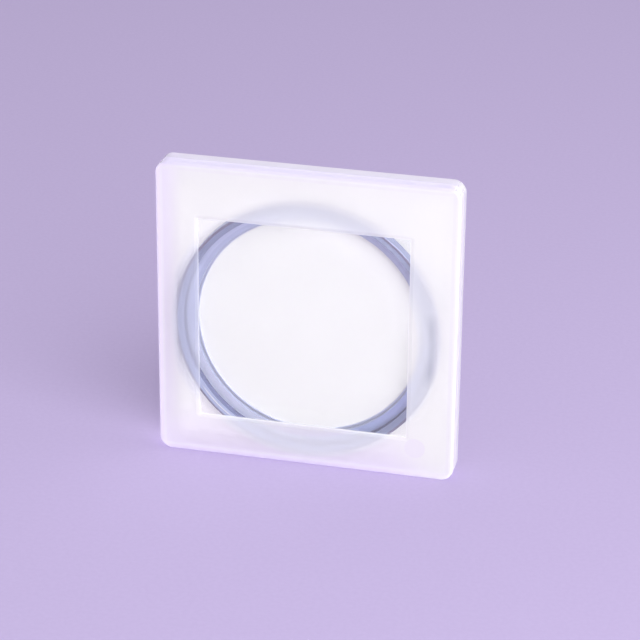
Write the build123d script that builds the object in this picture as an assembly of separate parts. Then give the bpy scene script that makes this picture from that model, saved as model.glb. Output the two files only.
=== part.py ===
from build123d import *
import os

# Round screw-in lens filter in its square storage case.
# The case stands upright on its narrow bottom edge: X across, Y from front to back, Z up.
# The origin is under the middle of the case, on the bottom edge. All sizes are in millimetres.

# ---- filter ------------------------------------------------------------------------------------
thread_diameter = 77.0          # nominal size, the same for the rear and the front thread
thread_pitch = 0.75
thread_height = 0.42
grip_wall = 2.05                # around the front thread
grip_depth = 4.2                # thick front part of the rim
rear_thread_length = 1.45       # thinner rear part, with the thread for the lens
rear_relief = 0.3               # plain step between the grip and the rear thread
rim_chamfer = 0.2               # outer front edge
rear_chamfer = 0.4              # outer rear edge
front_land_width = 0.75         # plain land around the outside of the front face
front_land_drop = 0.2           # the land lies this far behind the face
face_slope = 0.8                # the front face falls this far towards the thread
groove_count = 4                # fine rings turned into the front face
groove_depth = 0.1
thread_chamfer = 0.3            # lead-in of the rear thread

# ---- glass and the ring that holds it ---------------------------------------------------------
glass_thickness = 1.1
glass_ledge = 2.0               # step from the front thread in to the glass's bore
glass_clearance = 0.1           # around the glass in its bore
glass_bevel = 0.15
glass_play = 0.05               # between the glass and the shoulder behind it
seat_thickness = 0.45           # shoulder behind the glass
seat_width = 1.65
ring_thickness = 0.55
ring_thread_clearance = 0.05
ring_face_width = 2.8           # flat face of the ring
ring_bevel_width = 0.25         # slope from the face down to the glass
notch_width = 1.2               # two notches for a spanner
notch_depth = 0.3
notch_length = 1.2

# ---- how the filter lies in the case ----------------------------------------------------------
filter_lid_gap = 0.2            # in front of the rim
filter_pad_gap = 0.1            # behind the rear thread
filter_foot_gap = 0.2           # under the rim
filter_hinge_gap = 0.2          # towards the hinge
filter_snap_gap = 0.5           # towards the snap
filter_head_gap = 1.9           # above the rim
pad_thickness = 0.4
pad_gap = 0.2                   # between the pad and the pocket walls

# ---- case ------------------------------------------------------------------------------------
face_wall = 1.0                 # front face of the lid and floor of the base
lid_depth = 3.15                # from the front face to the parting plane
lid_wall = 1.0                  # skirt of the lid
lip_wall = 0.7                  # locating lip of the base, inside the lid's skirt
lip_height = 1.3
lip_clearance = 0.1
pocket_wall = 0.8               # inner wall around the filter
pocket_recess = 0.2             # the pocket walls end this far behind the parting plane
pocket_radius = 3.0
side_channel = 2.5              # between the base's skirt and the pocket wall
foot_channel = 0.6
head_channel = 5.75
corner_radius = 3.9             # outer corners, seen from the front
least_radius = 0.4              # inner corners are never sharper than this
edge_radius = 0.9               # rounded rim of the front and back faces
parting_bevel = 0.25            # small bevel on both sides of the parting line

# ---- window in the lid -----------------------------------------------------------------------
window_overlap = 7.2            # how far the frosted border covers the rim at either side
window_rise = 1.4               # middle of the window above the middle of the filter
window_shift = 0.7              # and nearer to the hinge
window_bevel = 1.2              # width of the sloping step around the polished square
window_step = 0.3               # depth of the step
window_radius = 0.5

# ---- round bosses inside the lower corners of the lid -----------------------------------------
boss_radius = 3.4
boss_height = 0.45
boss_foot_margin = 9.8
boss_hinge_margin = 9.0
boss_snap_margin = 12.0

# ---- snap on the side opposite the hinge -------------------------------------------------------
snap_length = 26.0
snap_proud = 0.3
snap_radius = 0.5
snap_clearance = 0.06

# ---- living hinge along the left edge ----------------------------------------------------------
hinge_end_margin = 8.2          # from the web to the case's top and bottom
hinge_end_gap = 0.5
hinge_bevel = 0.5               # V-groove that the folded web lies in
web_radius = 0.3                # bulge of the folded web

# ---- places that follow from the sizes above ---------------------------------------------------
filter_radius = thread_diameter / 2 + grip_wall
filter_diameter = 2 * filter_radius
base_wall = lid_wall + lip_clearance + lip_wall
side_inset = base_wall + side_channel + pocket_wall
case_width = filter_diameter + filter_hinge_gap + filter_snap_gap + 2 * side_inset
foot_inset = base_wall + foot_channel + pocket_wall
head_inset = base_wall + head_channel + pocket_wall
case_height = foot_inset + filter_foot_gap + filter_diameter + filter_head_gap + head_inset
case_depth = (face_wall + filter_lid_gap + grip_depth + rear_thread_length
              + filter_pad_gap + pad_thickness + face_wall)

case_left = -(case_width - web_radius) / 2
case_right = case_left + case_width
case_mid_x = (case_left + case_right) / 2
case_mid_z = case_height / 2
front_y = -case_depth / 2
back_y = case_depth / 2
parting_y = front_y + lid_depth
lid_inner_y = front_y + face_wall
floor_y = back_y - face_wall

pocket_left = case_left + side_inset
pocket_right = case_right - side_inset
pocket_bottom = foot_inset
pocket_top = case_height - head_inset
pocket_front_y = parting_y + pocket_recess

filter_x = pocket_left + filter_hinge_gap + filter_radius
filter_z = pocket_bottom + filter_foot_gap + filter_radius
rim_front_y = lid_inner_y + filter_lid_gap
grip_rear_y = rim_front_y + grip_depth
rim_rear_y = grip_rear_y + rear_thread_length
seat_y = rim_rear_y - seat_thickness
glass_rear_y = seat_y - glass_play
glass_front_y = glass_rear_y - glass_thickness
ring_front_y = glass_front_y - ring_thickness

thread_major = thread_diameter / 2
thread_minor = thread_major - thread_height
glass_bore_radius = thread_minor - glass_ledge
glass_radius = glass_bore_radius - glass_clearance
ring_radius = thread_minor - ring_thread_clearance
ring_mouth_radius = ring_radius - ring_face_width
face_outer_radius = filter_radius - front_land_width
face_inner_y = rim_front_y + face_slope
land_y = rim_front_y + front_land_drop

window_outer = filter_diameter - 2 * window_overlap
window_size = window_outer - 2 * window_bevel
hinge_length = case_height - 2 * hinge_end_margin


def plate(width, height, radius, mid_x, mid_z, y_front, y_back):
    """A block with rounded corners, seen from the front, between two depths."""
    plane = Plane(origin=(mid_x, y_back, mid_z), x_dir=(1, 0, 0), z_dir=(0, -1, 0))
    return extrude(plane * RectangleRounded(width, height, radius), amount=y_back - y_front)


def case_block(inset, y_front, y_back):
    """A block with the case's outline, set in by an even margin."""
    width = case_width - 2 * inset
    height = case_height - 2 * inset
    radius = max(corner_radius - inset, least_radius)
    return plate(width, height, radius, case_mid_x, case_mid_z, y_front, y_back)


def pocket_block(inset, y_front, y_back):
    """A block with the pocket's outline, set in (or out, if negative) by an even margin."""
    width = pocket_right - pocket_left - 2 * inset
    height = pocket_top - pocket_bottom - 2 * inset
    return plate(width, height, pocket_radius, (pocket_left + pocket_right) / 2,
                 (pocket_bottom + pocket_top) / 2, y_front, y_back)


def edges_at(part, depth):
    """The edges of a part that lie flat at one depth."""
    return [e for e in part.edges()
            if abs(e.bounding_box().min.Y - depth) < 1e-4 and abs(e.bounding_box().max.Y - depth) < 1e-4]


def upright(shape_2d, x, y, length):
    """A flat section extruded upwards, centred on the case's height."""
    plane = Plane(origin=(x, y, case_mid_z - length / 2), x_dir=(1, 0, 0), z_dir=(0, 0, 1))
    return extrude(plane * shape_2d, amount=length)


def turned(points):
    """A ring turned about the filter's axis from (radius, depth) points."""
    outline = make_face(Polyline([(filter_x + r, y, filter_z) for r, y in points], close=True))
    return revolve(outline, axis=Axis((filter_x, 0, filter_z), (0, 1, 0)), revolution_arc=360)


def thread_points(crest, root, y_start, y_end):
    """The zigzag of a thread's section, as grooves of the thread's pitch cut into the crest."""
    turns = int((y_end - y_start) / thread_pitch)
    flank = thread_pitch / 3
    flat = thread_pitch / 12
    points = []
    for turn in range(turns):
        y = y_start + turn * thread_pitch
        points += [(crest, y + flat), (root, y + flat + flank), (root, y + 2 * flat + flank),
                   (crest, y + 2 * flat + 2 * flank)]
    return points


def hinge_slot():
    """The V-groove that both halves leave free for the folded web."""
    diamond = Polygon((0, -hinge_bevel), (hinge_bevel, 0), (0, hinge_bevel), (-hinge_bevel, 0), align=None)
    return upright(diamond, case_left, parting_y, hinge_length + 2 * hinge_end_gap)


def snap_bead(clearance):
    """The bead on the lip that clicks into the lid, or, with a clearance, the groove for it."""
    lip_outer_x = case_right - lid_wall - lip_clearance
    x = lip_outer_x - (snap_radius - snap_proud)
    return upright(Circle(snap_radius + clearance), x, parting_y - lip_height / 2,
                   snap_length + 2 * clearance)


def window_recess():
    """The shallow square recess with sloping sides that holds the polished window."""
    def section(size, radius, y):
        plane = Plane(origin=(filter_x - window_shift, y, filter_z + window_rise), x_dir=(1, 0, 0),
                      z_dir=(0, -1, 0))
        return plane * RectangleRounded(size, size, radius)

    return loft([section(window_outer, window_radius + window_bevel / 2, front_y),
                 section(window_size, window_radius, front_y + window_step)], ruled=True)


def make_case_lid():
    shell = case_block(0, front_y, parting_y)
    shell = fillet(edges_at(shell, front_y), edge_radius)
    shell = chamfer(edges_at(shell, parting_y), parting_bevel)
    shell -= case_block(lid_wall, lid_inner_y, parting_y)
    for x in (case_left + boss_hinge_margin, case_right - boss_snap_margin):
        plane = Plane(origin=(x, lid_inner_y + boss_height, boss_foot_margin), x_dir=(1, 0, 0),
                      z_dir=(0, -1, 0))
        shell += extrude(plane * Circle(boss_radius), amount=boss_height + face_wall / 2)
    shell -= window_recess()
    shell -= snap_bead(snap_clearance)
    shell -= hinge_slot()
    return shell


def make_case_base():
    shell = case_block(0, parting_y, back_y)
    shell = fillet(edges_at(shell, back_y), edge_radius)
    shell = chamfer(edges_at(shell, parting_y), parting_bevel)
    shell += case_block(lid_wall + lip_clearance, parting_y - lip_height, floor_y)
    shell += snap_bead(0)
    shell -= case_block(base_wall, parting_y - lip_height, floor_y)
    pocket = pocket_block(-pocket_wall, pocket_front_y, floor_y) - pocket_block(0, pocket_front_y, floor_y)
    shell += pocket
    shell -= hinge_slot()
    return shell


def make_living_hinge():
    """The folded web: a small bead in the V-groove, with a foot on the base's side."""
    heel = web_radius / 3
    foot = Polygon((0, heel), (hinge_bevel - heel, heel), (0, hinge_bevel), align=None)
    return upright(Circle(web_radius) + foot, case_left, parting_y, hinge_length)


def make_pad():
    return pocket_block(pad_gap, floor_y - pad_thickness, floor_y)


def face_points():
    """The sloping front face of the rim, from the thread out to the land, with its fine rings."""
    pitch = (face_outer_radius - thread_minor) / (groove_count + 1)
    points = [(thread_minor, face_inner_y)]
    for groove in range(groove_count):
        for part_pitch, depth in ((0.75, 0), (1.0, groove_depth), (1.25, 0)):
            radius = thread_minor + (groove + part_pitch) * pitch
            share = (face_outer_radius - radius) / (face_outer_radius - thread_minor)
            points.append((radius, rim_front_y + face_slope * share + depth))
    return points + [(face_outer_radius, rim_front_y), (face_outer_radius, land_y)]


def make_filter_rim():
    aperture = glass_bore_radius - seat_width
    points = face_points()
    points += [(filter_radius - rim_chamfer, land_y), (filter_radius, land_y + rim_chamfer),
               (filter_radius, grip_rear_y - rear_chamfer), (filter_radius - rear_chamfer, grip_rear_y),
               (thread_minor, grip_rear_y), (thread_minor, grip_rear_y + rear_relief),
               (thread_major, grip_rear_y + rear_relief)]
    points += thread_points(thread_major, thread_minor, grip_rear_y + rear_relief, rim_rear_y)
    points += [(thread_major, rim_rear_y - thread_chamfer), (thread_major - thread_chamfer, rim_rear_y),
               (aperture, rim_rear_y), (aperture, seat_y), (glass_bore_radius, seat_y),
               (glass_bore_radius, glass_front_y), (thread_minor, glass_front_y)]
    points += reversed(thread_points(thread_minor, thread_major, face_inner_y, ring_front_y))
    return turned(points)


def make_filter_glass():
    flat_radius = glass_radius - glass_bevel
    return turned([(0, glass_front_y), (flat_radius, glass_front_y),
                   (glass_radius, glass_front_y + glass_bevel), (glass_radius, glass_rear_y - glass_bevel),
                   (flat_radius, glass_rear_y), (0, glass_rear_y)])


def make_retaining_ring():
    ring = turned([(ring_mouth_radius, ring_front_y), (ring_radius, ring_front_y),
                   (ring_radius, glass_front_y), (ring_mouth_radius - ring_bevel_width, glass_front_y)])
    for side in (-1, 1):
        z = filter_z + side * ring_mouth_radius
        ring -= Pos(filter_x, ring_front_y, z) * Box(notch_width, 2 * notch_depth, 2 * notch_length)
    return ring


PARTS = {
    "case_lid": make_case_lid,
    "case_base": make_case_base,
    "living_hinge": make_living_hinge,
    "pad": make_pad,
    "filter_rim": make_filter_rim,
    "filter_glass": make_filter_glass,
    "retaining_ring": make_retaining_ring,
}

os.makedirs("parts", exist_ok=True)
for name, make in PARTS.items():
    export_step(make(), f"parts/{name}.step")

print(f"case {case_width:.1f} x {case_depth:.1f} x {case_height:.1f} mm")
print(f"filter axis at x {filter_x:.2f}, z {filter_z:.2f} mm")
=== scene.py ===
"""Looks of a round screw-in lens filter in its square, hinged storage case.

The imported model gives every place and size. The case's two halves, the web between them, the rim,
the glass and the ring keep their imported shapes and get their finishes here. Two pieces are modelled
here: the polished pane of the lid's window, and the soft foam pad behind the filter.
"""

import logging
import math
from collections.abc import Iterable
from dataclasses import dataclass
from enum import Enum

import bmesh
import bpy
from mathutils import Matrix, Vector


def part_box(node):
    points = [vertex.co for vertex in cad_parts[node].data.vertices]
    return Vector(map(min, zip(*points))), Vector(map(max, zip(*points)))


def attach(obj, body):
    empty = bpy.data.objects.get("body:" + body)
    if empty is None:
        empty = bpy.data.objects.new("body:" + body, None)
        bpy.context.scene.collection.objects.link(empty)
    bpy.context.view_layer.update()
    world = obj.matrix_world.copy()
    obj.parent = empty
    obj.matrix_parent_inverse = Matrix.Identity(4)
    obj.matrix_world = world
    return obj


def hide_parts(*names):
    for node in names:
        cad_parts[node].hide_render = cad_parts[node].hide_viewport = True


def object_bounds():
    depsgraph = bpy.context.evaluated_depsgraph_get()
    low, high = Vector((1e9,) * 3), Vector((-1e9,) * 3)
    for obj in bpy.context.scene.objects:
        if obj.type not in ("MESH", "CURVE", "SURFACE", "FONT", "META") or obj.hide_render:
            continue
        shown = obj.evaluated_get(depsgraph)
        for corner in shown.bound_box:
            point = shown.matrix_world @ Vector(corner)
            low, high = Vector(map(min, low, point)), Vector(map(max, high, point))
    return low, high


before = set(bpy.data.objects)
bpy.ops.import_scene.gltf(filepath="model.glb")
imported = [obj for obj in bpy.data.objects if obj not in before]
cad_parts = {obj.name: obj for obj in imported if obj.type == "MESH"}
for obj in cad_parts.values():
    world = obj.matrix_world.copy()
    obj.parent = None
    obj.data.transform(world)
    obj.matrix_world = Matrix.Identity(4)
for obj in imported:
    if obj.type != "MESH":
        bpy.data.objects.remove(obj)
CAD_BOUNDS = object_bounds()

MM = 0.001

log = logging.getLogger("filter_case")
Socket = bpy.types.NodeSocket
Colour = tuple[float, float, float]
Box = tuple[Vector, Vector]

NO_LIGHT: Colour = (0.0, 0.0, 0.0)
CLEAR: Colour = (1.0, 1.0, 1.0)


# ---- small helpers -------------------------------------------------------------------------------


def rgba(colour: Colour) -> tuple[float, float, float, float]:
    """Add a full alpha to a colour."""
    return (*colour, 1.0)


def spread(amount: float, depth: float = 0.0) -> Vector:
    """The same step sideways and upwards, with another one in depth."""
    return Vector((amount, depth, amount))


def compass(side: float) -> tuple[float, float, float]:
    """The way to one side of the filter, in degrees from the snap side upwards."""
    turn = math.radians(side)
    return math.cos(turn), 0.0, math.sin(turn)


def direction(azimuth: float, elevation: float) -> Vector:
    """The way from the case to a viewpoint or a lamp.

    Args:
        azimuth: Degrees to the right of straight in front.
        elevation: Degrees above the floor.

    Returns:
        A unit vector.
    """
    turn, rise = math.radians(azimuth), math.radians(elevation)
    return Vector((math.sin(turn) * math.cos(rise), -math.cos(turn) * math.cos(rise), math.sin(rise)))


def by_name(sockets: Iterable[Socket]) -> dict[str, Socket]:
    """Look sockets up by their names."""
    return {socket.name: socket for socket in sockets}


def mesh_object(name: str, sheet: bmesh.types.BMesh) -> bpy.types.Object:
    """Turn a finished mesh into an object of the scene.

    Args:
        name: The name of the piece and of its mesh.
        sheet: The mesh as it was worked on, which is used up.

    Returns:
        The new object, at the origin.
    """
    mesh = bpy.data.meshes.new(name)
    sheet.to_mesh(mesh)
    sheet.free()
    piece = bpy.data.objects.new(name, mesh)
    bpy.context.scene.collection.objects.link(piece)
    return piece


class Graph:
    """A node tree being wired, with short calls for what the finishes use."""

    def __init__(self, tree: bpy.types.NodeTree) -> None:
        """Hold the tree to wire."""
        self.tree = tree

    def add(self, kind: str, **settings: object) -> bpy.types.Node:
        """Add a node.

        Args:
            kind: The node's type without its ShaderNode prefix.
            settings: Properties to set on it.

        Returns:
            The new node.
        """
        node = self.tree.nodes.new("ShaderNode" + kind)
        for name, value in settings.items():
            setattr(node, name, value)
        return node

    def feed(self, target: Socket, value: object) -> None:
        """Link a socket to an input, or set a plain value on it.

        Args:
            target: The input.
            value: An output socket, a number, a vector or a full colour.
        """
        if isinstance(value, bpy.types.NodeSocket):
            self.tree.links.new(value, target)
        else:
            target.default_value = value

    def maths(self, operation: str, first: object, second: object = 0.0, clamp: bool = False) -> Socket:
        """Work out one number from two.

        Args:
            operation: The Math node's operation.
            first: A socket or a number.
            second: A socket or a number.
            clamp: Whether the result stays between 0 and 1.

        Returns:
            The result's socket.
        """
        node = self.add("Math", operation=operation, use_clamp=clamp)
        self.feed(node.inputs[0], first)
        self.feed(node.inputs[1], second)
        return node.outputs[0]

    def product(self, first: Socket, *others: object) -> Socket:
        """Multiply masks with each other, in their order.

        Args:
            first: The first mask.
            others: Sockets or numbers to multiply it by.

        Returns:
            The product's socket.
        """
        for other in others:
            first = self.maths("MULTIPLY", first, other)
        return first

    def vectors(self, operation: str, first: object, second: object, output: str = "Vector") -> Socket:
        """Work out a vector or a number from two vectors.

        Args:
            operation: The Vector Math node's operation.
            first: A socket or a vector.
            second: A socket or a vector.
            output: Which output to read.

        Returns:
            The result's socket.
        """
        node = self.add("VectorMath", operation=operation)
        self.feed(node.inputs[0], first)
        self.feed(node.inputs[1], second)
        return node.outputs[output]

    def split(self, vector: Socket) -> tuple[Socket, Socket, Socket]:
        """Take a vector apart.

        Args:
            vector: The socket to read.

        Returns:
            Its three parts.
        """
        parts = self.add("SeparateXYZ")
        self.feed(parts.inputs[0], vector)
        return parts.outputs[0], parts.outputs[1], parts.outputs[2]

    def distance(self, arm: Socket) -> Socket:
        """The length of an arm from an axis along Y."""
        return self.vectors("LENGTH", self.vectors("MULTIPLY", arm, (1, 0, 1)), (0, 0, 0), "Value")

    def ramp(self, value: Socket, low: float, high: float, start: object = 0.0, end: object = 1.0) -> Socket:
        """Spread a value smoothly from one range to another.

        Args:
            value: The socket to read.
            low: The value that gives start.
            high: The value that gives end.
            start: A socket or a number.
            end: A socket or a number.

        Returns:
            The result's socket.
        """
        node = self.add("MapRange", interpolation_type="SMOOTHSTEP")
        self.feed(node.inputs["Value"], value)
        for name, number in (("From Min", low), ("From Max", high), ("To Min", start), ("To Max", end)):
            self.feed(node.inputs[name], number)
        return node.outputs["Result"]

    def between(self, value: Socket, limits: tuple[float, float]) -> Socket:
        """A mask that is 1 while a value lies between two limits."""
        above = self.maths("GREATER_THAN", value, limits[0])
        return self.product(above, self.maths("LESS_THAN", value, limits[1]))

    def blend(self, mask: Socket, first: object, second: object) -> Socket:
        """Blend two numbers.

        Args:
            mask: Where the second one shows.
            first: A socket or a number.
            second: A socket or a number.

        Returns:
            The result's socket.
        """
        node = self.add("Mix", data_type="FLOAT")
        self.feed(node.inputs["Factor"], mask)
        self.feed(node.inputs[2], first)
        self.feed(node.inputs[3], second)
        return node.outputs[0]

    def tint(self, mask: Socket, first: object, second: object) -> Socket:
        """Blend two colours.

        Args:
            mask: Where the second one shows.
            first: A socket or a colour.
            second: A socket or a colour.

        Returns:
            The result's socket.
        """
        node = self.add("Mix", data_type="RGBA")
        self.feed(node.inputs["Factor"], mask)
        self.feed(node.inputs[6], rgba(first) if isinstance(first, tuple) else first)
        self.feed(node.inputs[7], rgba(second) if isinstance(second, tuple) else second)
        return node.outputs[2]

    def cloud(self, vector: Socket, scale: object, detail: float = 2.0) -> Socket:
        """A soft noise between 0 and 1 around a half.

        Args:
            vector: Where the noise is read.
            scale: A socket or a number, larger for a finer noise.
            detail: How many finer layers it has.

        Returns:
            The noise's socket.
        """
        node = self.add("TexNoise", noise_dimensions="3D")
        node.inputs["Detail"].default_value = detail
        self.feed(node.inputs["Vector"], vector)
        self.feed(node.inputs["Scale"], scale)
        return node.outputs["Fac"]

    def place(self) -> Socket:
        """The point on the surface, in the part's own frame."""
        return self.add("TexCoord").outputs["Object"]


# ---- shader effects that several finishes share ------------------------------------------------


class Effect(Enum):
    """The shared effects, by the name of their node group."""

    AROUND_AXIS = "around_axis"
    BOX_MASK = "box_mask"
    GRAIN = "grain"
    HAIRLINES = "hairlines"
    ROUND_MASK = "round_mask"
    SPECKS = "specks"
    TURNING = "turning_marks"


class Effects:
    """Builds each shared node group once and places it in materials."""

    def __init__(self) -> None:
        """Start with no group built."""
        self.built: dict[Effect, bpy.types.NodeTree] = {}

    def use(self, graph: Graph, effect: Effect, **values: object) -> dict[str, Socket]:
        """Place an effect in a material.

        Args:
            graph: The material's graph.
            effect: Which effect.
            values: Its inputs by name, with _ for a space.

        Returns:
            The effect's outputs by name.
        """
        if effect not in self.built:
            self.built[effect] = getattr(self, "make_" + effect.value)()
        node = graph.add("Group", node_tree=self.built[effect])
        for name, value in values.items():
            graph.feed(node.inputs[name.replace("_", " ")], value)
        return by_name(node.outputs)

    @staticmethod
    def start(effect: Effect, inputs: dict[str, str],
              outputs: dict[str, str]) -> tuple[Graph, dict[str, Socket], dict[str, Socket]]:
        """Start a node group.

        Args:
            effect: The effect it is for.
            inputs: The kind of each input, by name.
            outputs: The kind of each output, by name.

        Returns:
            Its graph, the sockets that give its inputs and those that take its outputs.
        """
        tree = bpy.data.node_groups.new(effect.value, "ShaderNodeTree")
        for in_out, sockets in (("INPUT", inputs), ("OUTPUT", outputs)):
            for name, kind in sockets.items():
                tree.interface.new_socket(name, in_out=in_out, socket_type="NodeSocket" + kind)
        given, taken = tree.nodes.new("NodeGroupInput").outputs, tree.nodes.new("NodeGroupOutput").inputs
        return Graph(tree), by_name(given), by_name(taken)

    def make_around_axis(self) -> bpy.types.NodeTree:
        """Build the distance from an axis along Y, and how far a point lies towards one side.

        Returns:
            The group, whose Fan is 1 straight towards that side and -1 away from it.
        """
        graph, given, taken = self.start(
            Effect.AROUND_AXIS, {"Vector": "Vector", "Centre": "Vector", "Way": "Vector"},
            {"Radius": "Float", "Fan": "Float"})
        arm = graph.vectors("SUBTRACT", given["Vector"], given["Centre"])
        radius = graph.distance(arm)
        along = graph.vectors("DOT_PRODUCT", arm, given["Way"], "Value")
        graph.feed(taken["Radius"], radius)
        graph.feed(taken["Fan"], graph.maths("DIVIDE", along, radius))
        return graph.tree

    def make_box_mask(self) -> bpy.types.NodeTree:
        """Build a mask that is 1 inside a box and falls to 0 over a feather at its faces.

        Returns:
            The group.
        """
        graph, given, taken = self.start(
            Effect.BOX_MASK, {"Vector": "Vector", "Low": "Vector", "High": "Vector", "Feather": "Float"},
            {"Mask": "Float"})
        feather = graph.add("CombineXYZ")
        for axis in "XYZ":
            graph.feed(feather.inputs[axis], given["Feather"])
        above = graph.vectors("SUBTRACT", given["Vector"], given["Low"])
        below = graph.vectors("SUBTRACT", given["High"], given["Vector"])
        depth = graph.vectors("DIVIDE", graph.vectors("MINIMUM", above, below), feather.outputs[0])
        inside = graph.vectors("MAXIMUM", graph.vectors("MINIMUM", depth, (1, 1, 1)), (0, 0, 0))
        graph.feed(taken["Mask"], graph.product(*graph.split(inside)))
        return graph.tree

    def make_round_mask(self) -> bpy.types.NodeTree:
        """Build a mask that is 1 near an axis along Y and falls to 0 over a feather inside its reach.

        Returns:
            The group.
        """
        graph, given, taken = self.start(
            Effect.ROUND_MASK, {"Vector": "Vector", "Centre": "Vector", "Reach": "Float", "Feather": "Float"},
            {"Mask": "Float"})
        radius = graph.distance(graph.vectors("SUBTRACT", given["Vector"], given["Centre"]))
        left = graph.maths("SUBTRACT", given["Reach"], radius)
        graph.feed(taken["Mask"], graph.maths("DIVIDE", left, given["Feather"], clamp=True))
        return graph.tree

    def make_grain(self) -> bpy.types.NodeTree:
        """Build the fine pitting of a textured mould or a foam skin, with a slow cloudiness.

        Returns:
            The group.
        """
        graph, given, taken = self.start(
            Effect.GRAIN, {"Vector": "Vector", "Fine Scale": "Float", "Cloud Scale": "Float"},
            {"Height": "Float", "Cloud": "Float"})
        fine = graph.cloud(given["Vector"], given["Fine Scale"], 3.0)
        cloud = graph.cloud(given["Vector"], given["Cloud Scale"], 1.0)
        graph.feed(taken["Height"], graph.ramp(fine, 0.25, 0.75))
        graph.feed(taken["Cloud"], graph.ramp(cloud, 0.3, 0.7))
        return graph.tree

    def make_hairlines(self) -> bpy.types.NodeTree:
        """Build thin scattered scratches that run one way.

        Returns:
            The group.
        """
        graph, given, taken = self.start(
            Effect.HAIRLINES,
            {"Vector": "Vector", "Stretch": "Vector", "Turn": "Vector", "Width": "Float", "Cover": "Float"},
            {"Mask": "Float"})
        turned = graph.add("Mapping", vector_type="POINT")
        graph.feed(turned.inputs["Vector"], given["Vector"])
        graph.feed(turned.inputs["Rotation"], given["Turn"])
        stretched = graph.vectors("MULTIPLY", turned.outputs[0], given["Stretch"])
        cells = graph.add("TexVoronoi", feature="DISTANCE_TO_EDGE")
        graph.feed(cells.inputs["Vector"], stretched)
        cells.inputs["Scale"].default_value = 1.0
        line = graph.maths("LESS_THAN", cells.outputs["Distance"], given["Width"])
        some = graph.maths("LESS_THAN", graph.cloud(stretched, 1.7, 1.0), given["Cover"])
        graph.feed(taken["Mask"], graph.product(line, some))
        return graph.tree

    def make_specks(self) -> bpy.types.NodeTree:
        """Build small scattered dots, such as dust or pits.

        Returns:
            The group.
        """
        graph, given, taken = self.start(
            Effect.SPECKS, {"Vector": "Vector", "Scale": "Float", "Size": "Float", "Cover": "Float"},
            {"Mask": "Float"})
        cells = graph.add("TexVoronoi", feature="F1")
        graph.feed(cells.inputs["Vector"], given["Vector"])
        graph.feed(cells.inputs["Scale"], given["Scale"])
        chance = graph.add("SeparateColor")
        graph.feed(chance.inputs[0], cells.outputs["Color"])
        size = graph.product(given["Size"], chance.outputs[0])
        dot = graph.maths("LESS_THAN", cells.outputs["Distance"], size)
        some = graph.maths("LESS_THAN", chance.outputs[1], given["Cover"])
        graph.feed(taken["Mask"], graph.product(dot, some))
        return graph.tree

    def make_turning_marks(self) -> bpy.types.NodeTree:
        """Build the fine rings and the coarser grooves that a lathe leaves around an axis along Y.

        Returns:
            The group.
        """
        graph, given, taken = self.start(
            Effect.TURNING, {"Vector": "Vector", "Centre": "Vector", "Pitch": "Float", "Groove Pitch": "Float"},
            {"Height": "Float", "Cloud": "Float", "Grooves": "Float"})
        arm = graph.vectors("SUBTRACT", given["Vector"], given["Centre"])
        radius = graph.distance(arm)
        marks = graph.add("TexNoise", noise_dimensions="2D")
        place = graph.add("CombineXYZ")
        graph.feed(place.inputs["X"], graph.maths("DIVIDE", radius, given["Pitch"]))
        graph.feed(place.inputs["Y"], graph.maths("DIVIDE", graph.split(arm)[1], given["Pitch"]))
        graph.feed(marks.inputs["Vector"], place.outputs[0])
        marks.inputs["Scale"].default_value = 1.0
        marks.inputs["Detail"].default_value = 2.0
        turns = graph.product(graph.maths("DIVIDE", radius, given["Groove Pitch"]), math.tau)
        wave = graph.product(graph.maths("SINE", turns), 0.5)
        graph.feed(taken["Height"], marks.outputs["Fac"])
        graph.feed(taken["Cloud"], graph.cloud(given["Vector"], 220.0, 2.0))
        graph.feed(taken["Grooves"], graph.maths("ADD", wave, 0.5))
        return graph.tree


# ---- finishes ----------------------------------------------------------------------------------


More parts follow.
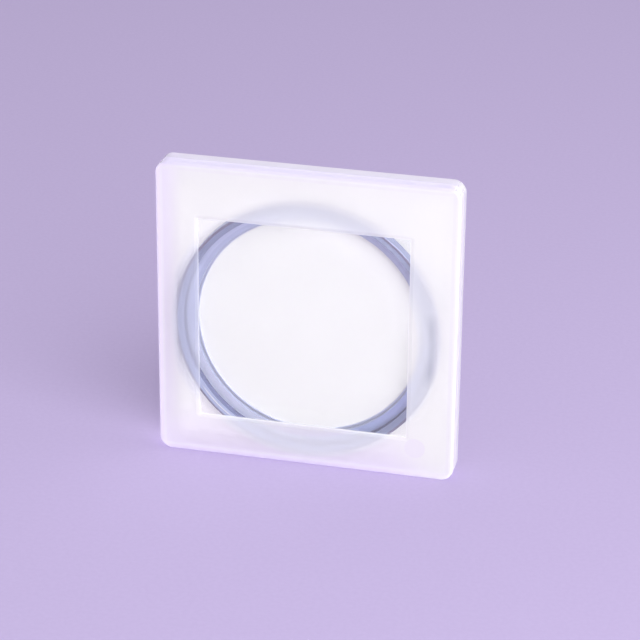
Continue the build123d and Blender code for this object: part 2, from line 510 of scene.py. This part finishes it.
class Finish:
    """What every finish shares: a material with one Principled shader.

    Attributes:
        name: The material's name.
        relief: Strength and depth of its fine relief.
    """

    name = "finish"
    relief = (0.0, 0.0)

    def __init__(self, effects: Effects) -> None:
        """Make the material.

        Args:
            effects: The shared node groups.
        """
        self.effects = effects
        self.material = bpy.data.materials.new(self.name)
        self.material.use_nodes = True
        self.graph = Graph(self.material.node_tree)
        self.graph.tree.nodes.clear()
        self.shader = self.graph.add("BsdfPrincipled")
        self.surface = self.graph.add("OutputMaterial").inputs["Surface"]
        self.graph.feed(self.surface, self.shader.outputs[0])
        self.place = self.graph.place()

    def give(self, name: str, value: object) -> None:
        """Feed one of the shader's inputs with a socket or a plain value."""
        self.graph.feed(self.shader.inputs[name], value)

    def use(self, effect: Effect, **values: object) -> dict[str, Socket]:
        """Place a shared effect over the surface, and return its outputs by name."""
        return self.effects.use(self.graph, effect, Vector=self.place, **values)

    def towards(self, centre: Vector, side: float, reach: float) -> Socket:
        """A mask for one side of the filter.

        Args:
            centre: A point on the filter's axis.
            side: The side, in degrees from the snap side upwards.
            reach: How far the mask reaches round, from 0 for a point to 1 for a quarter turn.

        Returns:
            The mask's socket.
        """
        fan = self.use(Effect.AROUND_AXIS, Centre=centre, Way=compass(side))["Fan"]
        return self.graph.ramp(fan, 1.0 - reach, 1.0 - 0.1 * reach)

    def roughen(self, height: Socket) -> None:
        """Give the surface its fine relief.

        Args:
            height: The relief's height, from 0 to 1.
        """
        bump = self.graph.add("Bump")
        for name, value in (("Strength", self.relief[0]), ("Distance", self.relief[1]), ("Height", height)):
            self.graph.feed(bump.inputs[name], value)
        self.give("Normal", bump.outputs[0])

    def paint_glow(self, light: Socket) -> None:
        """Paint a glow on the surface by emission, though the piece is no lamp.

        Args:
            light: The colour of the painted glow over the surface.
        """
        self.give("Emission Color", light)
        self.give("Emission Strength", 1.0)
        self.material.cycles.emission_sampling = "NONE"

    def let_lamps_in(self, colour: Colour) -> None:
        """Let lamps shine through the wall onto what is behind it.

        Args:
            colour: The tint that a lamp's ray takes at each surface.
        """
        clear = self.graph.add("BsdfTransparent")
        clear.inputs["Color"].default_value = rgba(colour)
        mix = self.graph.add("MixShader")
        shadow_ray = self.graph.add("LightPath").outputs["Is Shadow Ray"]
        for target, source in zip(mix.inputs, (shadow_ray, self.shader.outputs[0], clear.outputs[0])):
            self.graph.feed(target, source)
        self.graph.feed(self.surface, mix.outputs[0])

    def dress(self, piece: bpy.types.Object) -> None:
        """Put the material on a piece, in place of what it had.

        Args:
            piece: The piece to dress.
        """
        if not piece.material_slots:
            piece.data.materials.append(self.material)
        for slot in piece.material_slots:
            slot.material = self.material


class FrostedPlastic(Finish):
    """Milky polypropylene with the mould's frosting, clearest where the rim lies close behind it.

    A band gives two distances from a mark, along which a mask rises from 0 to 1. A reach goes with
    the width of its soft end.
    """

    name = "frosted_polypropylene"
    refraction = 1.49
    clearness = 0.5
    coat = (0.35, 0.22)                     # weight and roughness of the smooth skin
    relief = (0.12, 0.05 * MM)
    past_faces = 10.0 * MM                  # clear of the front and the back

    # how rough the frost is
    outer_roughness = (0.29, 0.30)          # away from the hinge and beside it
    inner_roughness = (0.18, 0.14)
    cloud_roughness = 0.05
    skin = (0.4 * MM, 0.2 * MM)

    # how much it hides
    haze = (0.93, 0.45)                     # away from the hinge and beside it
    edge_haze = 0.45                        # over the rim's far edge, at the snap side
    rim_reach = (3.0 * MM, 3.0 * MM)        # how far the frost is clearer beyond the rim
    window_reach = Vector((9.0, 2.6, 9.0)) * MM
    window_feather = 2.5 * MM
    opening_feather = 0.01 * MM
    hinge_band = (3.0 * MM, -1.0 * MM)      # from the window's edge
    edge_side = -2.0                        # in degrees from the snap side upwards
    edge_fan = (0.945, 0.995)
    edge_rise = (-4.0 * MM, -0.8 * MM)      # from the rim's edge
    edge_fall = (1.6 * MM, 0.4 * MM)

    # its tones
    white: Colour = (0.985, 0.985, 0.960)
    cool: Colour = (0.970, 0.972, 0.950)
    # painted bluish shade of the rim seen through the frost, beside the hinge and over the rest of the rim
    painted_rim_shade_by_hinge: Colour = (0.915, 0.935, 1.0)      # over the rim beside the hinge
    painted_rim_shade: Colour = (0.965, 0.985, 1.0)  # over the rest of the rim
    rim_rise = (-7.0 * MM, -5.5 * MM)       # from the rim's edge
    rim_fall = (1.5 * MM, -0.5 * MM)
    # painted lilac bounce light from the floor, towards the foot and the hinge side
    floor_bounce_lilac: Colour = (0.935, 0.902, 0.962)   # towards the foot and the hinge
    foot_band = (20.0 * MM, 4.0 * MM)
    foot_end = (-3.0 * MM, -22.0 * MM)
    hinge_end = (9.0 * MM, 1.0 * MM)
    front_band = (1.5 * MM, 0.5 * MM)
    # painted shade on the top faces
    painted_top_shade: Colour = (0.88, 0.85, 0.96)        # on the top
    top_band = (-1.2 * MM, -0.4 * MM)
    lip_shade: Colour = (0.955, 0.945, 0.95)
    lip_insets = (1.4 * MM, 2.3 * MM)
    lip_feather = 0.15 * MM
    boss_place = Vector((34.2, 0.0, 9.8)) * MM
    boss_reach = (3.4 * MM, 0.4 * MM)
    boss_shade: Colour = (0.925, 0.89, 0.955)

    # painted glow along its sides and the window's edges, given off by emission though it is no lamp
    slope_width = 1.2 * MM                  # bevel around the window's polished square
    slope_glow = 0.05
    line_width = 0.18 * MM
    line_feather = 0.06 * MM
    line_glow = 0.12
    # painted highlight along the window's edge lines
    painted_line_highlight: Colour = (0.95, 0.95, 1.0)
    # painted glow on the case's sides
    painted_side_glow: Colour = (0.045, 0.036, 0.08)
    side_reach = (1.3 * MM, 0.3 * MM)
    side_start = (0.5 * MM, 1.1 * MM)

    def __init__(self, effects: Effects, body: Box, window: Box, rim: Box) -> None:
        """Build the material.

        Args:
            effects: The shared node groups.
            body: Box of the closed case.
            window: Box of the lid's polished square, which is left open for the pane.
            rim: Box of the filter's rim.
        """
        super().__init__(effects)
        self.body, self.window = body, window
        self.rim_middle, self.rim_radius = (rim[0] + rim[1]) / 2, (rim[1].x - rim[0].x) / 2
        self.across, self.deep, self.up = self.graph.split(self.place)
        around = self.use(Effect.AROUND_AXIS, Centre=self.rim_middle, Way=compass(self.edge_side))
        self.radius, self.fan = around["Radius"], around["Fan"]
        grain = self.use(Effect.GRAIN, Fine_Scale=4200.0, Cloud_Scale=45.0)
        near_rim = self.near_rim()
        by_hinge = self.graph.product(self.rise(self.across, window[0].x, self.hinge_band), near_rim)
        self.set_roughness(grain["Cloud"], by_hinge)
        self.set_colour(grain["Cloud"], by_hinge)
        self.set_cover(near_rim, by_hinge)
        self.paint_glow(self.painted_edge_glow())
        self.roughen(grain["Height"])
        self.give("IOR", self.refraction)
        self.give("Transmission Weight", self.clearness)
        self.give("Coat Weight", self.coat[0])
        self.give("Coat Roughness", self.coat[1])
        self.let_lamps_in(CLEAR)

    def rise(self, value: Socket, mark: float, band: tuple[float, float]) -> Socket:
        """A mask that rises from 0 to 1 over a band measured from a mark."""
        return self.graph.ramp(value, mark + band[0], mark + band[1])

    def box_mask(self, low: Vector, high: Vector, feather: float) -> Socket:
        """A mask for the inside of a box."""
        return self.use(Effect.BOX_MASK, Low=low, High=high, Feather=feather)["Mask"]

    def round_mask(self, centre: Vector, radius: float, feather: float) -> Socket:
        """A mask for the inside of a round rod along Y."""
        return self.use(Effect.ROUND_MASK, Centre=centre, Reach=radius, Feather=feather)["Mask"]

    def within_outline(self, inset: float, feather: float) -> Socket:
        """A mask for what lies further in than an inset from the case's outline, at any depth."""
        margin = spread(inset, -self.past_faces)
        return self.box_mask(self.body[0] + margin, self.body[1] - margin, feather)

    def within_window(self, reach: float) -> Socket:
        """A mask for the polished square, made wider by a reach."""
        return self.box_mask(self.window[0] - spread(reach), self.window[1] + spread(reach), self.line_feather)

    def near_rim(self) -> Socket:
        """A mask for where the rim shows through, around the window.

        Returns:
            The mask's socket.
        """
        reach, feather = self.rim_reach
        low, high = self.window[0] - self.window_reach, self.window[1] + self.window_reach
        near = self.round_mask(self.rim_middle, self.rim_radius + reach, feather)
        return self.graph.product(near, self.box_mask(low, high, self.window_feather))

    def set_roughness(self, cloud: Socket, by_hinge: Socket) -> None:
        """Frost the outer faces more than the inner ones.

        Args:
            cloud: The plastic's cloudiness.
            by_hinge: The mask for the rim beside the hinge.
        """
        skin = Vector((self.skin[0],) * 3)
        inner = self.box_mask(self.body[0] + skin, self.body[1] - skin, self.skin[1])
        outside = self.graph.blend(by_hinge, *self.outer_roughness)
        inside = self.graph.blend(by_hinge, *self.inner_roughness)
        frost = self.graph.blend(inner, outside, inside)
        self.give("Roughness", self.graph.maths("ADD", frost, self.graph.product(cloud, self.cloud_roughness)))

    def set_colour(self, cloud: Socket, by_hinge: Socket) -> None:
        """Tint the milk, with painted lilac bounce light from the floor towards the foot and the hinge, painted shade
        on the top, at the lip and over the boss, and painted bluish shade of the rim seen through it.

        Args:
            cloud: The plastic's cloudiness.
            by_hinge: The mask for the rim beside the hinge.
        """
        graph, (low, high) = self.graph, self.body
        front = self.rise(self.deep, low.y, self.front_band)
        foot = graph.product(self.rise(self.up, low.z, self.foot_band), self.rise(self.across, high.x, self.foot_end))
        foot_or_hinge = graph.maths("MAXIMUM", foot, self.rise(self.across, low.x, self.hinge_end))
        lip = graph.maths("SUBTRACT", *(self.within_outline(inset, self.lip_feather) for inset in self.lip_insets))
        boss = self.round_mask(self.boss_place, *self.boss_reach)
        over_rim = graph.product(self.rise(self.radius, self.rim_radius, self.rim_rise),
                                 self.rise(self.radius, self.rim_radius, self.rim_fall))
        milk = graph.tint(cloud, self.white, self.cool)
        # mix in the painted bounce light, the painted shades and the painted shade of the rim seen through
        for mask, tone in ((foot_or_hinge, self.floor_bounce_lilac), (graph.product(lip, front), self.lip_shade),
                           (self.rise(self.up, high.z, self.top_band), self.painted_top_shade),
                           (graph.product(boss, front), self.boss_shade),
                           (graph.product(over_rim, front), self.painted_rim_shade), (by_hinge, self.painted_rim_shade_by_hinge)):
            milk = graph.tint(mask, milk, tone)
        self.give("Base Color", milk)

    def set_cover(self, near_rim: Socket, by_hinge: Socket) -> None:
        """Let the rim show through, most beside the hinge and at its far edge, and open the window.

        Args:
            near_rim: The mask for where the rim shows through.
            by_hinge: The mask for the rim beside the hinge.
        """
        graph = self.graph
        edge = graph.product(self.rise(self.radius, self.rim_radius, self.edge_rise),
                             self.rise(self.radius, self.rim_radius, self.edge_fall),
                             graph.ramp(self.fan, *self.edge_fan))
        away, beside = self.haze
        haze = graph.blend(by_hinge, graph.blend(edge, away, self.edge_haze), beside)
        opening = self.box_mask(*self.window, self.opening_feather)
        self.give("Alpha", graph.blend(opening, graph.blend(near_rim, 1.0, haze), 0.0))

    def painted_edge_glow(self) -> Socket:
        """Paint a glow on the plastic's sides and on the window's bevel, with painted highlight lines along the
        window's edges.

        Returns:
            The painted glow's colour.
        """
        graph = self.graph
        square, slope = self.within_window(0.0), self.within_window(self.slope_width)
        inner_line = graph.maths("SUBTRACT", self.within_window(self.line_width), square)
        outer_line = graph.maths("SUBTRACT", slope, self.within_window(self.slope_width - self.line_width))
        lines = graph.product(graph.maths("MAXIMUM", inner_line, outer_line), self.line_glow)
        bevel = graph.product(graph.maths("SUBTRACT", slope, square), self.slope_glow)
        sides = graph.product(graph.maths("SUBTRACT", 1.0, self.within_outline(*self.side_reach)),
                              self.rise(self.deep, self.body[0].y, self.side_start))
        light = graph.tint(sides, NO_LIGHT, self.painted_side_glow)
        return graph.tint(graph.maths("MAXIMUM", lines, bevel, clamp=True), light, self.painted_line_highlight)


class PolishedPlastic(Finish):
    """The same plastic where the mould is polished, with faint scuffs."""

    name = "polished_polypropylene"
    refraction = 1.49
    clearness = 0.93
    roughness = (0.03, 0.14)                # smooth, and in a scuff
    clear: Colour = (0.985, 0.98, 0.995)

    def __init__(self, effects: Effects) -> None:
        """Build the material.

        Args:
            effects: The shared node groups.
        """
        super().__init__(effects)
        scuffs = self.use(Effect.HAIRLINES, Stretch=(900.0, 60.0, 60.0), Turn=(0.0, 0.7, 0.0), Width=0.02,
                          Cover=0.42)["Mask"]
        self.give("Roughness", self.graph.ramp(scuffs, 0.0, 1.0, *self.roughness))
        self.give("Base Color", rgba(self.clear))
        self.give("IOR", self.refraction)
        self.give("Transmission Weight", self.clearness)
        self.let_lamps_in(CLEAR)


@dataclass(frozen=True)
class Zone:
    """A ring-shaped stretch of the filter with a tone set apart; some zones hold painted light and shade.

    Attributes:
        radii: Its nearest and farthest distance from the axis.
        depths: Its foremost and rearmost depth.
        tone: Its colour.
        side: The side of the filter that it keeps to, in degrees from the snap side upwards, if not all round.
        reach: How far it reaches round from that side, from 0 for a point to 1 for a quarter turn.
    """

    radii: tuple[float, float]
    depths: tuple[float, float]
    tone: Colour
    side: float | None = None
    reach: float = 0.0


class AnodisedAluminium(Finish):
    """Turned aluminium with a dark blue-grey anodised skin."""

    metallic = 0.5
    roughness = (0.28, 0.42)
    relief = (0.25, 0.01 * MM)
    mark_pitch = 0.05 * MM
    groove_pitch = 0.43 * MM
    # painted shade in the turned grooves
    painted_groove_shade: Colour = (0.06, 0.07, 0.14)
    speck: Colour = (0.50, 0.51, 0.58)

    def __init__(self, effects: Effects, name: str, centre: Vector, skin: tuple[Colour, Colour],
                 zones: tuple[Zone, ...] = (), groove_cover: float = 0.0) -> None:
        """Build the material around the filter's axis.

        Args:
            effects: The shared node groups.
            name: The material's name.
            centre: A point on the axis.
            skin: The darker and the lighter tone of the skin.
            zones: Stretches with a tone set apart, some of them painted light and shade.
            groove_cover: How strongly the painted shade of the turned grooves shows.
        """
        self.name = name
        super().__init__(effects)
        graph, depth = self.graph, self.graph.split(self.place)[1]
        radius = self.use(Effect.AROUND_AXIS, Centre=centre)["Radius"]
        marks = self.use(Effect.TURNING, Centre=centre, Pitch=self.mark_pitch, Groove_Pitch=self.groove_pitch)
        specks = self.use(Effect.SPECKS, Scale=900.0, Size=0.16, Cover=0.10)
        shade = graph.tint(marks["Cloud"], *skin)
        # painted shade in the turned grooves
        shade = graph.tint(graph.product(marks["Grooves"], groove_cover), shade, self.painted_groove_shade)
        for zone in zones:
            mask = graph.product(graph.between(radius, zone.radii), graph.between(depth, zone.depths))
            if zone.side is not None:
                mask = graph.product(mask, self.towards(centre, zone.side, zone.reach))
            shade = graph.tint(mask, shade, zone.tone)
        self.give("Base Color", graph.tint(specks["Mask"], shade, self.speck))
        self.give("Roughness", graph.ramp(marks["Height"], 0.3, 0.7, *self.roughness))
        self.give("Metallic", self.metallic)
        self.roughen(marks["Height"])


class ClearGlass(Finish):
    """Optical glass, polished, with a few grains of dust."""

    name = "optical_glass"
    refraction = 1.50
    roughness = (0.01, 0.5)                 # polished, and on a grain of dust
    clear: Colour = (0.985, 0.99, 0.99)
    lamp_tint: Colour = (0.98, 0.985, 0.985)

    def __init__(self, effects: Effects) -> None:
        """Build the material.

        Args:
            effects: The shared node groups.
        """
        super().__init__(effects)
        dust = self.use(Effect.SPECKS, Scale=260.0, Size=0.05, Cover=0.12)["Mask"]
        self.give("Roughness", self.graph.ramp(dust, 0.0, 1.0, *self.roughness))
        self.give("Base Color", rgba(self.clear))
        self.give("IOR", self.refraction)
        self.give("Transmission Weight", 1.0)
        self.let_lamps_in(self.lamp_tint)


class WhiteFoam(Finish):
    """Thin white closed-cell foam, with a painted glow that lightens it near the rim, where the rim shades it, and
    over its back.

    A side is an angle around the filter, in degrees from the snap side upwards, and how far round
    from it the painted glow reaches.
    """

    name = "white_foam"
    white: Colour = (0.935, 0.93, 0.90)
    shade: Colour = (0.92, 0.915, 0.885)
    roughness = (0.75, 0.92)
    relief = (0.3, 0.06 * MM)
    # painted glow, standing in for light in the rim's shade and on the pad's back
    painted_pad_glow: Colour = (0.21, 0.20, 0.22)
    lower_side = (225.0, 0.4)
    upper_side = (135.0, 0.4)
    snap_side = (45.0, 0.6)
    covered = 1.0 * MM                      # width of the rim's edge that hides the pad
    corner_fade = 6.0 * MM                  # beyond the rim
    middle_fade = (18.0 * MM, 6.0 * MM)     # within the rim

    def __init__(self, effects: Effects, pad: Box, rim: Box) -> None:
        """Build the material.

        Args:
            effects: The shared node groups.
            pad: Box of the pad.
            rim: Box of the filter's rim.
        """
        super().__init__(effects)
        cells = self.use(Effect.GRAIN, Fine_Scale=1600.0, Cloud_Scale=60.0)
        self.give("Base Color", self.graph.tint(cells["Cloud"], self.white, self.shade))
        self.give("Roughness", self.graph.ramp(cells["Height"], 0.0, 1.0, *self.roughness))
        self.paint_glow(self.graph.tint(self.glow(pad, rim), NO_LIGHT, self.painted_pad_glow))
        self.roughen(cells["Height"])

    def glow(self, pad: Box, rim: Box) -> Socket:
        """Find where the pad gets its painted glow.

        Args:
            pad: Box of the pad.
            rim: Box of the filter's rim.

        Returns:
            A mask, even over the back, and on the front only around the rim and towards it.
        """
        graph, middle, edge = self.graph, (rim[0] + rim[1]) / 2, (rim[1].x - rim[0].x) / 2
        radius = self.use(Effect.AROUND_AXIS, Centre=middle)["Radius"]
        outside = graph.maths("GREATER_THAN", radius, edge - self.covered)
        corner = graph.product(graph.ramp(radius, edge + self.corner_fade, edge),
                               self.towards(middle, *self.upper_side))
        corner = graph.product(graph.maths("MAXIMUM", corner, self.towards(middle, *self.lower_side)), outside)
        inside = graph.product(graph.ramp(radius, *(edge - fade for fade in self.middle_fade)),
                               self.towards(middle, *self.snap_side), graph.maths("SUBTRACT", 1.0, outside))
        behind = graph.maths("GREATER_THAN", graph.split(self.place)[1], (pad[0].y + pad[1].y) / 2)
        return graph.blend(behind, graph.maths("MAXIMUM", corner, inside), 1.0)


class StudioPaper(Finish):
    """Plain pale paper for the floor."""

    name = "studio_paper"
    roughness = 0.9
    pale: Colour = (0.60, 0.50, 0.80)
    paler: Colour = (0.62, 0.52, 0.82)

    def __init__(self, effects: Effects) -> None:
        """Build the material.

        Args:
            effects: The shared node groups.
        """
        super().__init__(effects)
        fibres = self.use(Effect.GRAIN, Fine_Scale=700.0, Cloud_Scale=30.0)
        self.give("Base Color", self.graph.tint(fibres["Height"], self.pale, self.paler))
        self.give("Roughness", self.roughness)


# ---- the product -------------------------------------------------------------------------------


@dataclass
class StorageCase:
    """The two frosted halves of the case, the folded web between them and the window's pane."""

    effects: Effects
    step_depth: float = 0.3 * MM
    face_wall: float = 1.0 * MM
    pane_inset: float = 0.02 * MM
    pane_overlap: float = 0.3 * MM
    same_depth: float = 0.01 * MM
    front_margin: float = 0.1 * MM
    mouldings: tuple[str, ...] = ("case_lid", "case_base", "living_hinge")

    def polished_square(self) -> Box:
        """Find the window's polished square on the lid.

        Returns:
            The box of the square, through the whole wall of the lid.
        """
        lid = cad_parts["case_lid"]
        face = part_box("case_lid")[0].y + self.step_depth
        found = [v.co for v in lid.data.vertices if abs(v.co.y - face) < self.same_depth]
        low = Vector((min(p.x for p in found), face - self.front_margin, min(p.z for p in found)))
        high = Vector((max(p.x for p in found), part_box("filter_rim")[0].y, max(p.z for p in found)))
        return low, high

    def outer_box(self) -> Box:
        """The lowest and highest corners of the closed case."""
        lid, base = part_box("case_lid"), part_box("case_base")
        return lid[0], Vector((lid[1].x, base[1].y, lid[1].z))

    def build(self) -> None:
        """Dress both halves and the web in frosted plastic and set the polished pane in the window."""
        window = self.polished_square()
        plastic = FrostedPlastic(self.effects, self.outer_box(), window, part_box("filter_rim"))
        for name in self.mouldings:
            plastic.dress(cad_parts[name])
            log.info("%s dressed in %s", name, plastic.name)
        overlap = spread(self.pane_overlap)
        self.pane(window[0] - overlap, window[1] + overlap)

    def pane(self, low: Vector, high: Vector) -> bpy.types.Object:
        """Model the polished square of the lid.

        Args:
            low: Lowest corner of the square's box.
            high: Highest corner.

        Returns:
            The pane, which fills the opening that the frosted plastic leaves.
        """
        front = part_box("case_lid")[0].y + self.step_depth + self.pane_inset
        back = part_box("case_lid")[0].y + self.face_wall - self.pane_inset
        sheet = bmesh.new()
        bmesh.ops.create_cube(sheet, size=1.0)
        for vertex in sheet.verts:
            vertex.co = Vector((high.x if vertex.co.x > 0 else low.x, back if vertex.co.y > 0 else front,
                                high.z if vertex.co.z > 0 else low.z))
        piece = mesh_object("window_pane", sheet)
        PolishedPlastic(self.effects).dress(piece)
        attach(piece, "lid")
        log.info("window_pane built")
        return piece


@dataclass
class FoamPad:
    """The soft pad that the filter lies against."""

    effects: Effects
    corner: float = 3.0 * MM
    corner_steps: int = 8
    front_round: float = 0.2 * MM
    front_step: float = 0.06 * MM
    back_round: float = 0.05 * MM
    fill: float = 0.9

    def outline(self, low: Vector, high: Vector, inset: float) -> list[tuple[float, float]]:
        """The pad's rounded square, seen from the front.

        Args:
            low: Lowest corner of the pad.
            high: Highest corner of the pad.
            inset: How far the outline is drawn in.

        Returns:
            The outline's points, anticlockwise.
        """
        radius = self.corner - inset
        points = []
        for turn, (x, z) in enumerate(((high.x, high.z), (low.x, high.z), (low.x, low.z), (high.x, low.z))):
            mid_x = x + (self.corner if x == low.x else -self.corner)
            mid_z = z + (self.corner if z == low.z else -self.corner)
            for step in range(self.corner_steps + 1):
                angle = math.pi / 2 * (turn + step / self.corner_steps)
                points.append((mid_x + radius * math.cos(angle), mid_z + radius * math.sin(angle)))
        return points

    def build(self) -> bpy.types.Object:
        """Model the pad, with soft edges.

        Returns:
            The pad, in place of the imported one.
        """
        low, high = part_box("pad")
        levels = ((high.y, self.back_round), (high.y - self.back_round, 0.0), (low.y + self.front_round, 0.0),
                  (low.y + self.front_step, self.front_step), (low.y, self.front_round))
        sheet = bmesh.new()
        rings = [[sheet.verts.new((x, y, z)) for x, z in self.outline(low, high, inset)] for y, inset in levels]
        for back, front in zip(rings, rings[1:]):
            for i in range(len(back)):
                j = (i + 1) % len(back)
                sheet.faces.new((back[i], back[j], front[j], front[i]))
        sheet.faces.new(rings[0][::-1])
        sheet.faces.new(rings[-1])
        bmesh.ops.recalc_face_normals(sheet, faces=sheet.faces)
        piece = mesh_object("foam_pad", sheet)
        WhiteFoam(self.effects, (low, high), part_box("filter_rim")).dress(piece)
        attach(piece, "base")
        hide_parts("pad")
        log.info("foam_pad built with %d faces", len(piece.data.polygons))
        return piece


@dataclass
class LensFilter:
    """The filter: threaded rim, glass and the ring that holds it."""

    effects: Effects
    land_width: float = 0.75 * MM
    face_slope: float = 0.8 * MM
    ring_face: float = 2.8 * MM
    thread_width: float = 0.6 * MM
    edge_width: float = 0.1 * MM
    edge_depth: float = 1.0 * MM
    outer_width: float = 1.5 * MM           # lighter outer part of the ring's face
    highlight_radii: tuple[float, float] = (38.80 * MM, 39.00 * MM)
    margin: float = 0.1 * MM
    groove_cover: float = 0.4
    rim_skin: tuple[Colour, Colour] = ((0.34, 0.40, 0.60), (0.40, 0.46, 0.66))
    ring_skin: tuple[Colour, Colour] = ((0.50, 0.57, 0.78), (0.56, 0.63, 0.84))
    # painted shade on the thread wall
    thread_painted_shade: Colour = (0.07, 0.09, 0.20)
    land_tone: Colour = (0.20, 0.18, 0.27)
    side_tone: Colour = (0.29, 0.34, 0.53)
    # painted light on the shoulder behind the glass, which lies in shade
    shoulder_painted_light: Colour = (0.60, 0.65, 0.88)
    # painted highlight: a streak on the face towards the lower hinge-side corner
    painted_highlight_tone: Colour = (0.72, 0.70, 0.68)
    # painted light on the outer part of the ring's face, where the rim's wall shades it
    outer_painted_light: Colour = (0.62, 0.69, 0.90)
    lit_tone: Colour = (0.78, 0.83, 0.97)
    dim_tone: Colour = (0.43, 0.51, 0.80)
    slope_tone: Colour = (0.40, 0.45, 0.64)

    def axis_point(self) -> Vector:
        """A point on the filter's axis, from the rim's box."""
        low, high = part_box("filter_rim")
        return (low + high) / 2

    def rim_finish(self, rim_radius: float, bore_radius: float) -> AnodisedAluminium:
        """Make the rim's metal.

        Args:
            rim_radius: Outer radius of the rim.
            bore_radius: Radius that the ring is screwed into.

        Returns:
            The finish, with its tones around the axis.
        """
        low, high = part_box("filter_rim")
        ring_front, glass_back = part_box("retaining_ring")[0].y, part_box("filter_glass")[1].y
        # painted shade on the thread wall, painted light on the shoulder and a painted highlight streak on the face
        thread_shade = Zone((bore_radius, bore_radius + self.thread_width), (low.y + self.face_slope, ring_front),
                      self.thread_painted_shade)
        land = Zone((rim_radius - self.land_width, rim_radius - self.edge_width), (low.y, low.y + self.edge_depth),
                    self.land_tone)
        side = Zone((rim_radius - self.edge_width, rim_radius + self.margin), (low.y, high.y), self.side_tone)
        shoulder_light = Zone((0.0, bore_radius - self.outer_width), (glass_back, high.y + self.margin), self.shoulder_painted_light)
        painted_highlight = Zone(self.highlight_radii, (low.y - self.margin, ring_front), self.painted_highlight_tone,
                      side=225.0, reach=0.025)
        return AnodisedAluminium(self.effects, "anodised_rim", self.axis_point(), self.rim_skin,
                                 (thread_shade, land, side, shoulder_light, painted_highlight), self.groove_cover)

    def ring_finish(self, bore_radius: float) -> AnodisedAluminium:
        """Make the retaining ring's metal.

        Args:
            bore_radius: Outer radius of the ring.

        Returns:
            The finish, with its tones around the axis.
        """
        depths = (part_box("retaining_ring")[0].y - self.margin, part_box("filter_glass")[1].y)
        mouth, rim = bore_radius - self.ring_face, bore_radius + self.margin
        # painted light on the outer part of the face, where the rim's wall shades it
        outer = Zone((bore_radius - self.outer_width, rim), depths, self.outer_painted_light)
        lit_face = Zone((mouth, rim), depths, self.lit_tone, side=225.0, reach=0.3)
        dim_face = Zone((mouth, rim), depths, self.dim_tone, side=312.0, reach=0.35)
        slope = Zone((0.0, mouth), depths, self.slope_tone)
        return AnodisedAluminium(self.effects, "anodised_ring", self.axis_point(), self.ring_skin,
                                 (outer, lit_face, dim_face, slope))

    def build(self) -> None:
        """Dress the rim and the ring in anodised aluminium and the glass in glass."""
        low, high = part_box("filter_rim")
        bore_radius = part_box("retaining_ring")[1].x - self.axis_point().x
        finishes = {"filter_rim": self.rim_finish((high.x - low.x) / 2, bore_radius),
                    "retaining_ring": self.ring_finish(bore_radius),
                    "filter_glass": ClearGlass(self.effects)}
        for name, finish in finishes.items():
            finish.dress(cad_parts[name])
            log.info("%s dressed in %s", name, finish.name)


# ---- the studio --------------------------------------------------------------------------------


@dataclass(frozen=True)
class Viewpoint:
    """Where the camera stands, about the middle of the case's front face."""

    azimuth: float = 13.37
    elevation: float = 24.69
    roll: float = 0.54
    distance: float = 771.85 * MM
    shift_right: float = 4.37 * MM
    shift_up: float = 0.96 * MM
    lens: float = 145.86
    sensor: float = 36.0
    near_limit: float = 0.01

    def build(self) -> None:
        """Make the camera and give it to the scene."""
        low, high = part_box("case_lid")
        target = Vector(((low.x + high.x) / 2, low.y, (low.z + high.z) / 2))
        back = direction(self.azimuth, self.elevation)
        right = (-back).cross(Vector((0, 0, 1))).normalized()
        up = right.cross(-back)
        roll = math.radians(self.roll)
        side = math.cos(roll) * right + math.sin(roll) * up
        top = math.cos(roll) * up - math.sin(roll) * right
        place = target + back * self.distance + side * self.shift_right + top * self.shift_up
        data = bpy.data.cameras.new("camera")
        data.lens = self.lens
        data.sensor_width = self.sensor
        data.clip_start = self.near_limit
        camera = bpy.data.objects.new("camera", data)
        camera.matrix_world = Matrix.Translation(place) @ Matrix((side, top, back)).transposed().to_4x4()
        bpy.context.scene.collection.objects.link(camera)
        bpy.context.scene.camera = camera


@dataclass(frozen=True)
class SoftBox:
    """A square soft lamp that faces the case."""

    name: str
    azimuth: float
    elevation: float
    distance: float
    size: float
    power: float

    def build(self) -> None:
        """Hang the lamp."""
        low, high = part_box("case_lid")
        way = direction(self.azimuth, self.elevation)
        data = bpy.data.lights.new(self.name, "AREA")
        data.shape = "SQUARE"
        data.size = self.size
        data.energy = self.power
        lamp = bpy.data.objects.new(self.name, data)
        turn = way.to_track_quat("Z", "Y").to_matrix().to_4x4()
        lamp.matrix_world = Matrix.Translation((low + high) / 2 + way * self.distance) @ turn
        bpy.context.scene.collection.objects.link(lamp)


@dataclass
class Studio:
    """The pale floor, the soft surround, the lamp and the camera."""

    effects: Effects
    floor_size: float = 8.0
    floor_cells: int = 8
    key_light: SoftBox = SoftBox("key_light", azimuth=45.0, elevation=30.0, distance=1.2, size=1.0, power=11.2)
    surround: Colour = (0.985, 0.972, 0.995)
    surround_strength: float = 0.60

    def build(self) -> None:
        """Build everything around the part."""
        self.floor()
        self.world()
        self.key_light.build()
        Viewpoint().build()
        bpy.context.scene.view_settings.view_transform = "Standard"
        log.info("studio built")

    def floor(self) -> None:
        """Lay the paper that the case stands on."""
        sheet = bmesh.new()
        bmesh.ops.create_grid(sheet, x_segments=self.floor_cells, y_segments=self.floor_cells,
                              size=self.floor_size / 2)
        floor = mesh_object("floor", sheet)
        floor.location.z = CAD_BOUNDS[0][2]
        StudioPaper(self.effects).dress(floor)

    def world(self) -> None:
        """Light the scene evenly from all round."""
        world = bpy.data.worlds.new("surround")
        world.use_nodes = True
        surface = world.node_tree.nodes["Background"]
        surface.inputs["Color"].default_value = rgba(self.surround)
        surface.inputs["Strength"].default_value = self.surround_strength
        bpy.context.scene.world = world


def main() -> None:
    """Build the part's looks and the studio, in order."""
    logging.basicConfig(level=logging.INFO, format="%(name)s: %(message)s")
    effects = Effects()
    Studio(effects).build()
    StorageCase(effects).build()
    FoamPad(effects).build()
    LensFilter(effects).build()


if __name__ == "__main__":
    main()
